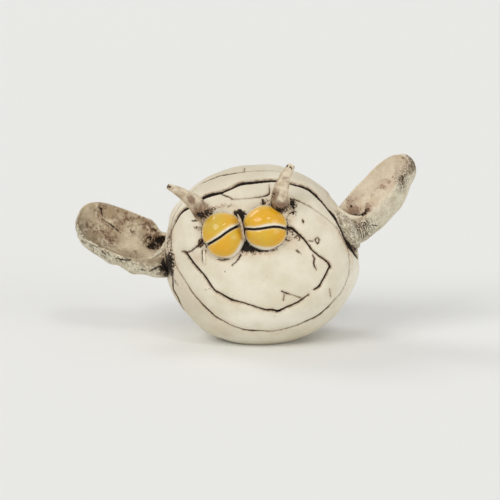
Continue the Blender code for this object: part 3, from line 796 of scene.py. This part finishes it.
# Forms that the others must make room for
def eye_frame(eye):
    """Centre, axes and half sizes of an eye, whose third axis points out of the face."""
    seat = on_skin(eye["centre"])
    line = drawn([eye["slit"][0], eye["slit"][-1]])
    facing = unit(skin_normal(seat) + TOWARDS_EYE)
    along = unit(line[1] - line[0])
    along = unit(along - along @ facing * facing)
    axes = np.array([along, np.cross(facing, along), facing])
    halves = np.array([eye["width"] / 2, eye["height"] / 2, EYE_BULGE])
    return seat + EYE_SINK * unit(seat - EYE_POINT), axes, halves


def ear_frame(ear):
    """Middle, axes (across, opening, along) and half sizes of an ear."""
    root, tip = at_depth([ear["root"], ear["tip"]], np.zeros(2))
    along = unit(tip - root)
    above = unit(np.cross(along, TOWARDS_EYE))
    above = above if above[2] > 0 else -above
    roll = radians(ear["roll"])
    opening = cos(roll) * TOWARDS_EYE + sin(roll) * above
    root = root - EAR_ROOT_LENGTH * along
    halves = np.array([ear["width"] / 2, ear["depth"], np.linalg.norm(tip - root) / 2])
    return (tip + root) / 2, np.array([np.cross(opening, along), opening, along]), halves


def scoop_level(local, halves):
    """1 on a scoop's surface, less inside it and more outside, for places along its axes."""
    shape = np.abs(local / halves)
    return np.hypot(shape[..., 0], shape[..., 1]) ** EAR_FULLNESS + shape[..., 2] ** EAR_FULLNESS


# Pieces
def make_body(material):
    directions, faces = ball_grid(BODY_SQUARES)
    points = leaned(*(rounded(directions, FULLNESS, 1) * (HALF_WIDTH, HALF_DEPTH, HALF_HEIGHT)).T)
    normals = skin_normal(points)
    pixels = pixels_of(points)
    turned = (normals * unit(EYE_POINT - points)).sum(1)
    seen = step_between(turned, -0.1, 0.12)
    lift = rough_lift(points, 1, (0.35, 24), (0.2, 9), (0.05, 2.6))
    for x, y, height, reach in BODY_BULGES:
        lift += height * np.exp(-((points - on_skin((x, y))) ** 2).sum(1) / reach**2)

    attributes, halo = {}, np.zeros(len(points))
    for key, (groove, shoulder, reach, seams) in GROOVES.items():
        strokes = [body_stroke(rows) for rows in seams]
        if key == "seams_c":
            strokes.append(back_stroke())
        attributes[key], half = stroke_fields(points, strokes)
        distance, width, dark = attributes[key].T
        apart = np.abs(distance)
        cut = np.clip(1 - apart / (half + 0.35), 0, 1) ** 0.8 * np.minimum(half * 1.6, 1.0) * groove
        lift -= np.where(width > -0.5, cut, 0.0) + shoulder * np.exp(-(apart / reach) ** 2) * (apart < 6)
        halo = np.maximum(halo, dark * np.exp(-(np.maximum(apart - half, 0) / 0.9) ** 2) * 0.4)
    to_disc = stroke_fields(points, [body_stroke(DISC_SEAM)])[0][:, 0]
    lift += 0.45 * step_between(to_disc, 0.0, 1.2) * step_between(-to_disc, -14, -4) * seen
    lift += 0.9 * np.clip(spots(pixels, CHEEK_PAD), 0, 1) * seen + spots(pixels, HORN_SEATS) * seen

    moved = ragged(pixels, points, 71)
    stain = spots(0.5 * (pixels + moved), BODY_STAINS) * step_between(turned, -0.2, 0.0)
    for eye in (LEFT_EYE, RIGHT_EYE):
        centre, axes, halves = eye_frame(eye)
        level = np.linalg.norm((points - centre) @ axes.T / halves, axis=1)
        lift -= step_between(-level, -1.32, -1.02)
        # A dark ring round the eye where it meets the body: oxide in the joint and painted contact shade
        stain = np.maximum(stain, 0.62 * step_between(-level, -1.09, -1.02))
    for ear in (LEFT_EAR, RIGHT_EAR):
        middle, axes, halves = ear_frame(ear)
        local = (points - middle) @ axes.T
        level = scoop_level(local, halves)
        lift -= 0.9 * step_between(-level, -1.3, -1.02)
        closed = step_between(-local[:, 1], -1.5, 0.5)
        # A dark ring where the ear meets the body: oxide in the joint and painted contact shade
        stain = np.maximum(stain, 0.36 * step_between(-level, -1.07, -1.01) * closed)
    points = points + lift[:, None] * normals
    points[:, 2] = np.maximum(points[:, 2], 0.0)
    # Painted shade: surfaces that face down get some of the washes' darker colour
    painted_downward_shade = 0.3 * step_between(-normals[:, 2], 0.25, 0.9)
    attributes.update({
        "stain": stain, "painted_light": spots(moved, BODY_PAINTED_LIGHT) * seen,
        "blush": np.maximum(spots(moved, BODY_BLUSH) * seen, halo),
        "wash_and_shade": np.maximum(spots(moved, BODY_WASH_AND_SHADE) * seen, painted_downward_shade),
    })
    add_piece("body", points, faces, material, attributes)


def back_stroke():
    """The seam round the back slab, behind the ears, broken off beside the right ear's root."""
    set_back, broken, half = 15.0, radians(20.0), 0.8
    turn = np.linspace(broken, 2 * pi - broken, 900)
    share = (1 - (set_back / HALF_DEPTH) ** FULLNESS) ** (1 / FULLNESS)
    depth = np.full(turn.shape, set_back) + 0.7 * np.sin(5 * turn) + 0.4 * np.sin(13 * turn)
    points = leaned(share * HALF_WIDTH * np.cos(turn), depth, share * HALF_HEIGHT * np.sin(turn))
    points = CENTRE + (points - CENTRE) * skin_level(points)[:, None] ** (-1 / FULLNESS)
    widths = half * (0.7 + 0.3 * np.sin(7 * turn) * np.sin(3 * turn))
    return points, unit(np.gradient(points, axis=0)), skin_normal(points), widths, np.ones(len(points))


def make_ear(ear, material, seed):
    """A scoop: a ball whose open half is folded down inside the other, with a soft rim between them."""
    middle, axes, outer = ear_frame(ear)
    directions, faces = ball_grid(EAR_SQUARES)
    climb = np.arcsin(np.clip(directions[:, 1], -1, 1))
    band = radians(EAR_RIM_BAND)
    flat = unit(directions[:, [0, 2]] + 1e-9)
    angle = np.clip((np.abs(climb) - band) / (pi / 2 - band), 0, 1) * pi / 2
    share = 0.5 + 0.5 * np.clip(climb / band, -1, 1)
    over = np.sin(share * pi)
    bowl = np.stack([flat[:, 0] * np.cos(angle), -np.sin(angle), flat[:, 1] * np.cos(angle)], -1)
    bowl = rounded(bowl, EAR_FULLNESS, 2)
    near = np.clip(-flat[:, 0] * np.sign(axes[0] @ SIGHT_UP), 0, 1)
    rim = EAR_RIM + (EAR_NEAR_RIM - EAR_RIM) * near
    inner_length = outer[2] - (EAR_HOLLOW_SET + EAR_RIM) / 2
    hollow = bowl * np.array([1.0, outer[1] - EAR_FLOOR, inner_length])
    hollow[:, 0] *= outer[0] - rim
    hollow[:, 1] *= np.abs(bowl[:, 1]) ** 0.6
    hollow[:, 2] += outer[2] - EAR_RIM - inner_length
    local = bowl * outer
    local += share[:, None] * (hollow - local)
    local[:, 1] += EAR_RIM_RISE - 0.7 + over * rim * 0.5
    points = middle + local @ axes
    turned = normals_of(points, faces)
    pixels = pixels_of(points)
    inside = share > 0.5
    facing = step_between(turned @ TOWARDS_EYE, -0.1, 0.15)

    lift = rough_lift(points, seed, (0.5, 14), (0.25, 5))
    shift = np.zeros_like(points)
    start, end = drawn([ear["root"], ear["tip"]])
    for x, y, height, reach in ear["bumps"]:
        away = drawn((x, y)) - start
        share_along = np.clip(away @ (end - start) / ((end - start) @ (end - start)), 0.0, 0.85)
        shift += (height * mound(pixels, x, y, reach))[:, None] * unit(away - share_along * (end - start))
    moved = ragged(pixels, points, seed + 5)
    pitted = spots(moved, ear["pits"]) * facing + np.where(inside, 0.05, 0.15 + 0.25 * (1 - facing))
    lift += (0.06 + 0.08 * pitted) * lumps(points, 1.9, seed + 2)
    lift -= 0.22 * step_between(lumps(points, 1.1, seed + 3), 0.3, 0.7) * pitted
    deep, *hole = ear["hole"]
    lift -= deep * spots(pixels, [hole]) * inside
    points = points + lift[:, None] * turned + shift

    stain = np.where(inside, spots(moved, ear["stains"]), spots(moved, ear["outer_stains"]) * facing)
    brown = spots(moved, ear["outer_browns"]) * facing + 0.15
    scratches = [ear_stroke(ear, rows, on_inside) for on_inside, rows in ear["scratches"]]
    # Near the body's skin the ear darkens: oxide in the joint and painted contact shade
    add_piece(ear["name"], points, faces, material, {
        "stain": np.maximum(stain, 0.4 * step_between(-skin_level(points), -1.06, -1.01)),
        "brown": np.where(inside, spots(moved, ear["browns"]), brown),
        "outside": np.where(inside, 0.0, 1.0) * (1 - over) + over * 0.35 * ~inside,
        # Paler clay in spots inside; on the rim's crest paler clay and a painted highlight
        "light": np.maximum(np.where(inside, spots(pixels, ear["light"]), 0.0), 0.9 * over),
        "pitted": pitted,
        "scratches": stroke_fields(points, scratches)[0],
    })


def ear_stroke(ear, rows, on_inside):
    """A stroke on the ear, taken to lie on its inner floor or its outer side as seen in the drawing."""
    middle, axes, outer = ear_frame(ear)
    halves = outer - np.array([EAR_RIM, EAR_FLOOR, EAR_RIM]) if on_inside else outer
    fine = stroke_rows(rows)
    aim = unit(drawn(fine[:, :2]) - EYE_POINT)
    tries = EYE_POINT + np.linspace(SIGHT_DISTANCE - 60, SIGHT_DISTANCE + 60, 241)[:, None, None] * aim
    local = (tries - middle) @ axes.T
    level = scoop_level(local, halves)
    order, deepest = np.arange(len(tries))[:, None], level.argmin(0)
    met = (order >= deepest if on_inside else order <= deepest) & (local[..., 1] < EAR_RIM_RISE)
    points = tries[np.where(met, np.abs(level - 1), 9.0).argmin(0), np.arange(len(fine))]
    normal = np.broadcast_to(TOWARDS_EYE, points.shape)
    return points, unit(np.gradient(points, axis=0) + 1e-9), normal, fine[:, 2] * PIXEL / 2, fine[:, 3]


def make_eye(eye, material):
    centre, axes, halves = eye_frame(eye)
    directions, faces = ball_grid(EYE_SQUARES)
    local = directions * halves
    aim = unit(drawn(eye["slit"]) - EYE_POINT)
    start = (EYE_POINT - centre) @ axes.T / halves
    flat_aim = aim @ axes.T / halves
    nearest = -(flat_aim @ start) / (flat_aim**2).sum(1)
    closest = np.linalg.norm(start + nearest[:, None] * flat_aim, axis=1)
    back = np.sqrt(np.maximum(1 - closest**2, 0)) / np.linalg.norm(flat_aim, axis=1)
    line = (EYE_POINT + (nearest - back)[:, None] * aim - centre) @ axes.T
    distance = local[:, 1] - np.interp(local[:, 0], line[:, 0], line[:, 1])
    apart = np.abs(distance)
    points = centre + local @ axes
    pixels = pixels_of(points)
    lift = rough_lift(points, 31, (0.15, 7), (0.06, 3))
    lift -= 0.8 * np.exp(-(apart / 2.6) ** 2) + 1.3 * np.clip(1 - apart / 0.85, 0, 1)
    for x, y, height, reach in eye["dents"]:
        lift += height * mound(pixels, x, y, reach)
    points = points + lift[:, None] * unit(directions / halves @ axes)

    from_middle = (pixels - pixels_of(centre[None])[0]) * np.array([PIXEL, -PIXEL])
    bearing = np.degrees(np.arctan2(from_middle[:, 1], from_middle[:, 0]))
    along = unit(axes[:2] @ np.array([SIGHT_RIGHT, SIGHT_UP]).T)
    reach = np.linalg.norm(from_middle @ along.T / halves[:2], axis=1)
    turn = np.abs((bearing - eye["rim_towards"] + 180) % 360 - 180)
    rim = (eye["rim_width"] + 0.4) * np.exp(-(turn / eye["rim_spread"]) ** 2) - 0.4
    to_rim = (1.0 - reach) * halves[:2].mean() - rim
    uneven = 1 + 0.3 * np.sin(local[:, 0] * 0.33 + 1)
    margin = np.where(distance > 0, eye["above"] * uneven, eye["below"])
    edge = np.minimum(to_rim, apart - SLIT_WIDTH / 2 - margin)
    # The eye's part sunk into the body is marked for painted contact shade
    add_piece(eye["name"], points, faces, material, {
        "glaze": np.stack([distance, np.full(len(points), SLIT_WIDTH / 2), edge], -1),
        "sunk_joint_shade": step_between(-directions[:, 2], -0.14, 0.02),
        "olive": spots(pixels, EYE_OLIVE), "amber": spots(pixels, EYE_AMBER),
    })


def make_horn(horn, material, seed):
    """A hand-rolled taper with a pit pressed into its tip."""
    around, steps = 96, 130
    flat = np.array(horn["line"], float)
    knots = at_depth(flat, on_skin(flat[0])[1] - np.array(horn["forward"]))
    rings = curve(np.column_stack([knots, horn["radii"]]), np.linspace(0, len(knots) - 1, steps))
    reach = unit(np.gradient(rings[:, :3], axis=0))
    tip, last = rings[-1], reach[-1]
    ends = [[*(tip[:3] + ahead * last), tip[3] * share] for ahead, share in HORN_END]
    rings = np.concatenate([rings, np.array(ends)])
    reach = np.concatenate([reach, np.repeat(reach[-1:], len(ends), axis=0)])
    points, out = tube_rings(rings[:, :3], reach, rings[:, 3], around)
    lift = rough_lift(points, seed, (0.45, 6), (0.2, 2.6), (0.06, 1.2))
    lift *= np.repeat(np.clip(rings[:, 3] / 3, 0.3, 1), around)
    points = np.concatenate([points + lift[:, None] * out, [rings[0, :3] - reach[0], tip[:3] - 2.3 * last]])
    pixels = ragged(pixels_of(points), points, seed + 3)
    shown = np.concatenate([step_between(out @ TOWARDS_EYE, -0.3, 0.2), [0, 0]])
    pit = np.concatenate([np.repeat(np.arange(len(rings)) >= steps + 2, around), [0, 1]])
    add_piece(horn["name"], points, tube_faces(len(rings), around), material, {
        "stain": np.maximum(spots(pixels, horn["stains"]) * shown, pit),
        "brown": spots(pixels, horn["browns"]) * shown,
    })


def make_roll(name, material, seed, attributes, rows):
    """A thin roll of clay along rows of x, y in pixels, depth and radius."""
    rows = smooth_rows(rows, 1.0)
    knots = at_depth(rows[:, :2], rows[:, 2])
    around = 28
    points, out = tube_rings(knots, unit(np.gradient(knots, axis=0)), rows[:, 3], around)
    points += rough_lift(points, seed, (0.3, 3), (0.12, 1.3))[:, None] * out
    points = np.concatenate([points, knots[:1], knots[-1:]])
    fields = {key: np.full(len(points), value) for key, value in attributes.items()}
    add_piece(name, points, tube_faces(len(knots), around), material, fields)


def make_lump(name, material, pixel, halves, ahead, seed, rough, stain):
    """A small pressed lump of clay on the body's skin."""
    seat = on_skin(pixel)
    outward = skin_normal(seat)
    sideways = unit(np.cross(SIGHT_UP, outward))
    axes = np.array([sideways, np.cross(outward, sideways), outward])
    directions, faces = ball_grid(SMALL_SQUARES)
    points = seat + ahead * outward + (directions * halves) @ axes
    lift = rough_lift(points, seed, (0.6 * rough, 2.2), (0.4 * rough, 1.0))
    points = points + lift[:, None] * unit((directions / halves) @ axes)
    shadow = stain + 0.35 * step_between(-lumps(points, 1.6, seed + 2), 0.1, 0.7) * (stain > 0)
    add_piece(name, points, faces, material, {"stain": shadow, "brown": shadow})


# The studio
def add_sun(name, bearing, climb, strength, width, colour=(1, 1, 1)):
    """A soft lamp at an angle round from the viewer, to the right, and a height, in degrees."""
    data = bpy.data.lights.new(name, "SUN")
    data.energy = strength
    data.angle = radians(width)
    data.color = colour
    lamp = add_object(name, data)
    turn, rise = radians(bearing), radians(climb)
    towards = Vector((sin(turn) * cos(rise), -cos(turn) * cos(rise), sin(rise)))
    lamp.location = towards
    lamp.rotation_euler = (-towards).to_track_quat("-Z", "Y").to_euler()


def make_studio():
    scene = bpy.context.scene
    scene.view_settings.view_transform = "Standard"
    data = bpy.data.cameras.new("camera")
    data.angle = 2 * atan(PICTURE / 2 * PIXEL / SIGHT_DISTANCE)
    data.shift_x, data.shift_y = (PICTURE / 2 - DRAWN_CENTRE) / PICTURE * (1, -1)
    data.clip_start = 0.05
    scene.camera = add_object("camera", data)
    scene.camera.location = (EYE_POINT * MM).tolist()
    scene.camera.rotation_euler = (pi / 2 - RISE, 0, 0)

    mesh = bpy.data.meshes.new("floor")
    corners = [(x * FLOOR_REACH, y * FLOOR_REACH, 0) for x, y in ((-1, -1), (1, -1), (1, 1), (-1, 1))]
    mesh.from_pydata(corners, [], [(0, 1, 2, 3)])
    mesh.materials.append(Paint("floor", FLOOR).finish(Roughness=0.9, Specular_IOR_Level=0.1))
    floor = add_object("floor", mesh)

    world = bpy.data.worlds.new("studio")
    world.use_nodes = True
    scene.world = world
    tree = world.node_tree
    light = tree.nodes["Background"]
    put(tree, light.inputs["Color"], (1, 1, 1))
    put(tree, light.inputs["Strength"], ROOM_LIGHT)
    backdrop = add_node(tree, "Background", {"Color": BACKGROUND, "Strength": 1.0})
    rays = add_node(tree, "LightPath").outputs
    seen = rays["Is Camera Ray"]
    for other in ("Is Glossy Ray", "Is Transmission Ray"):
        seen = add_node(tree, "Math", {0: seen, 1: rays[other]}, operation="MAXIMUM").outputs[0]
    choice = add_node(tree, "MixShader", {0: seen, 1: light.outputs[0], 2: backdrop.outputs[0]})
    put(tree, tree.nodes["World Output"].inputs[0], choice.outputs[0])

    add_sun("key", -42, 37, 1.12, 32, (1.0, 0.99, 0.97))
    add_sun("fill", 52, 12, 0.72, 40)
    add_sun("back", -125, 48, 0.5, 26)
    add_sun("spark", 24, 49, 0.3, 12)


make_studio()
horn_clay, glaze, slip = horn_material(), eye_material(), slip_material()
left_clay = ear_material("left_ear_clay", EAR_PALE, EAR_TAN, EAR_BROWN, 0.1)
right_clay = ear_material("right_ear_clay", EAR_PINK, EAR_PINK_DULL, EAR_DUN, 0.5)
make_body(body_material())
make_ear(LEFT_EAR, left_clay, 11)
make_roll("left_ear_curl", left_clay, 81, {"light": 1.0, "outside": 0.6, "brown": 0.35, "pitted": 0.3}, [
    (147, 258.5, -8, 0.3), (152, 257.5, -9, 0.6), (157, 254.5, -9, 0.9), (163, 248.5, -8, 1.1),
    (167, 241, -7, 1.0), (169.5, 236, -6, 0.4),
])
make_ear(RIGHT_EAR, right_clay, 21)
make_roll("right_ear_curl", right_clay, 85, {"light": 1.0, "outside": 0.3, "brown": 0.2}, [
    (337, 207, -10, 0.5), (341, 212, -10, 1.2), (347, 216.5, -10, 1.6), (354, 218.5, -10, 1.4),
    (362, 216.5, -9, 0.8),
])
make_roll("right_ear_root", right_clay, 88, {"outside": 1.0, "brown": 0.35, "pitted": 0.6}, [
    (339, 213, -14, 1.5), (344, 222, -15, 3.0), (349, 231, -15, 3.6), (354, 240, -13, 3.2),
    (357, 246, -10, 1.5),
])
make_eye(LEFT_EYE, glaze)
make_eye(RIGHT_EYE, glaze)
make_horn(LEFT_HORN, horn_clay, 41)
make_horn(RIGHT_HORN, horn_clay, 45)
make_lump("right_collar", horn_clay, (280, 208.5), (6.2, 2.6, 2.6), 0.2, 51, 0.55, 0.45)
make_lump("right_flap", horn_clay, (271, 206), (2.6, 2.4, 1.8), 0.4, 52, 0.55, 0.4)
make_lump("right_flap_low", horn_clay, (287, 209.5), (2.6, 1.8, 1.6), 0.8, 53, 0.55, 0.4)
make_lump("left_collar", horn_clay, (205, 213), (4.2, 2.4, 2.0), 0.0, 54, 0.55, 0.6)
make_lump("pellet", slip, (198.8, 225.8), (2.4, 2.2, 2.0), 1.0, 61, 0.2, 0.22)
make_lump("drip", slip, (204.8, 256.5), (0.8, 3.8, 0.9), 0.5, 62, 0.15, 0.0)
make_roll("strip_between_eyes", horn_clay, 91, {"stain": 0.3, "brown": 0.55}, [
    (237.5, 214, -34, 0.3), (239.5, 219, -35.6, 0.45), (241.8, 227, -36.4, 0.5), (243.8, 236, -36.4, 0.45),
    (245, 241, -35.5, 0.3),
])
